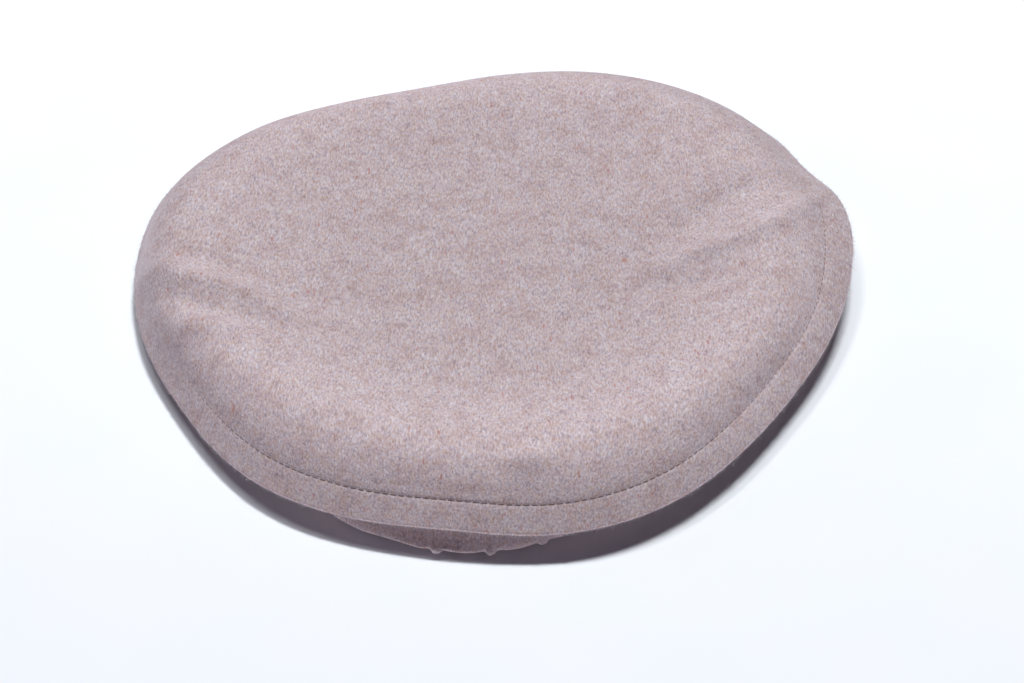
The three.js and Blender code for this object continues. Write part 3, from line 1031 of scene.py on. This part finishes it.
def build_cap():
    wool = melange_wool("melange_wool")
    # the brim's wool, painted paler as painted light
    painted_light_brim_wool = melange_wool("melange_wool_brim_painted_light", BRIM_PAINTED_LIGHT)
    # the cut edges' wool, painted paler as a painted highlight
    highlight_edge_wool = melange_wool("melange_wool_cut_edge_painted_highlight", CUT_EDGE_PAINTED_HIGHLIGHT)
    cotton = woven_cotton("lining_cotton", (0.27, 0.235, 0.22))
    stiffener = woven_cotton("interlining_buckram", (0.78, 0.75, 0.70), threads_per_mm=1.1)
    tape = woven_cotton("seam_tape_cotton", (0.38, 0.32, 0.30), threads_per_mm=2.4)
    leather = soft_leather("sweatband_sheepskin", (0.155, 0.105, 0.075))
    thread = spun_thread("topstitch_thread", (0.21, 0.155, 0.145))
    lining_thread = spun_thread("lining_thread", (0.20, 0.17, 0.16))
    leather_thread = spun_thread("sweatband_thread", (0.11, 0.078, 0.058))
    fibre_colours = {
        "pale": WOOL_PALE, "white": WOOL_WHITE, "blue_grey": WOOL_BLUE_GREY,
        "brown": WOOL_BROWN, "rust": WOOL_RUST,
    }
    nap_shares = [0.38, 0.34, 0.14, 0.12, 0.02]
    # the rim's fibres take more white than the nap's, a painted highlight along the cut edges
    rim_shares_whitened_for_highlight = [0.24, 0.64, 0.06, 0.05, 0.01]
    fibre_materials = [
        plain_wool_fibre(f"wool_fibre_{word}", colour) for word, colour in fibre_colours.items()
    ]

    crown_cloth(wool, highlight_edge_wool)
    depth = WOOL + CLEARANCE
    inner_disc("interlining_disc", depth, INTERLINING, "crown_interlining", stiffener)
    depth += INTERLINING + CLEARANCE
    inner_disc("crown_lining_cloth", depth, LINING, "crown_lining", cotton)
    side_band_cloth(painted_light_brim_wool, highlight_edge_wool)
    seam_tape(tape)
    side_lining(cotton)
    sweatband(leather)

    stitch_row("topstitches", STITCH_RADIUS, CROWN_LEVEL - STITCH_GROOVE - 0.2, lift=0.25,
               thickest=0.2, replaced="rim_topstitch", material=thread,
               pitch=STITCH_PITCH, sink=0.45)
    stitch_row("bobbin_stitches", STITCH_RADIUS, SIDE_BAND_LEVEL + 0.1, lift=-0.3,
               thickest=0.28, replaced="rim_bobbin_thread", material=thread,
               pitch=STITCH_PITCH)
    stitch_row("lining_seam_stitches", LINING_RADIUS - 0.9, 17.2, lift=0.2,
               thickest=0.22, replaced="lining_seam_thread",
               material=lining_thread, pitch=3.4)
    inside = SWEATBAND_RADIUS - SWEATBAND / 2 - 0.15
    stitch_row("sweatband_stitches", inside, 4, lift=0.1,
               thickest=0.3, replaced="sweatband_stitch",
               material=leather_thread, pitch=4.0)
    rim_fuzz(fibre_materials, rim_shares_whitened_for_highlight)
    crown_nap(fibre_materials, nap_shares)


# ---- The studio ----

# In metres and watts, placed by matching the photo's shadows and brightnesses.
# (name, place, width, depth, power, colour)
SOFTBOXES = [
    ("right_key_softbox", (0.38, 1.12, 2.74), 0.8, 0.22, 82.0, (0.95, 0.98, 1.0)),
    ("left_fill_softbox", (-0.75, 1.12, 2.74), 0.9, 0.22, 25.0, (0.95, 0.98, 1.0)),
    ("left_softbox", (-2.3, 0.3, 0.8), 1.2, 0.5, 5.5, (0.95, 0.84, 1.0)),
    ("low_front_softbox", (0.1, -2.3, 0.24), 2.4, 0.3, 3.4, (0.94, 0.78, 1.0)),
]
BACKDROP_LIGHT = (0.84, 0.81, 0.90)
CEILING_LIGHT = (0.008, 0.003, 0.016)
CAMERA_LENS = 70.0  # millimetres, as the sensor's width is
CAMERA_SENSOR = 36.0
CAMERA_ELEVATION = 42.0
CAMERA_DISTANCE = 0.750
CAMERA_AIM = (0.0081 - MIDDLE_X * MM, -0.043 - MIDDLE_Y * MM, 0.015)


def add_camera():
    data = bpy.data.cameras.new("camera")
    data.lens = CAMERA_LENS
    data.sensor_width = CAMERA_SENSOR
    camera = put_in_scene("camera", data)
    rise = math.radians(CAMERA_ELEVATION)
    offset = CAMERA_DISTANCE * Vector((0, -math.cos(rise), math.sin(rise)))
    camera.location = Vector(CAMERA_AIM) + offset
    camera.rotation_euler = (math.radians(90 - CAMERA_ELEVATION), 0, 0)
    bpy.context.scene.camera = camera


def add_softbox(name, place, width, depth, power, colour):
    """A rectangular light that faces the middle of the cap's footprint."""
    data = bpy.data.lights.new(name, "AREA")
    data.shape = "RECTANGLE"
    data.size = width
    data.size_y = depth
    data.energy = power
    data.color = colour
    lamp = put_in_scene(name, data)
    lamp.location = place
    lamp.rotation_euler = (-Vector(place)).to_track_quat("-Z", "Y").to_euler()


def add_floor():
    material = new_material("floor_paper")
    shader = shader_of(material, Roughness=0.9, Specular_IOR_Level=0.1)
    grain = noise_at(material, place_in_mm(material), 0.02, 3.0)
    colours = ramp(material, grain, [(0.3, (0.88, 0.905, 0.94)), (0.7, (0.90, 0.915, 0.94))])
    join(material, colours, shader.inputs["Base Color"])
    half = 4.0  # metres
    mesh = bpy.data.meshes.new("floor")
    corners = [(-half, -half, 0), (half, -half, 0), (half, half, 0), (-half, half, 0)]
    mesh.from_pydata(corners, [], [(0, 1, 2, 3)])
    mesh.materials.append(material)
    floor = put_in_scene("floor", mesh)


def add_surroundings():
    """A pale backdrop low down all round, which fades into a dim ceiling."""
    world = bpy.data.worlds.new("studio")
    world.use_nodes = True
    bpy.context.scene.world = world
    bpy.context.scene.view_settings.view_transform = "Standard"
    direction = add_node(world, "ShaderNodeTexCoord")
    parts = add_node(world, "ShaderNodeSeparateXYZ")
    join(world, direction.outputs["Generated"], parts.inputs["Vector"])
    fading = ramp(world, parts.outputs["Z"], [
        (0.0, BACKDROP_LIGHT), (0.08, BACKDROP_LIGHT), (0.21, CEILING_LIGHT),
    ])
    join(world, fading, world.node_tree.nodes["Background"].inputs["Color"])


def build_studio():
    add_floor()
    add_surroundings()
    for softbox in SOFTBOXES:
        add_softbox(*softbox)
    add_camera()


build_studio()
build_cap()
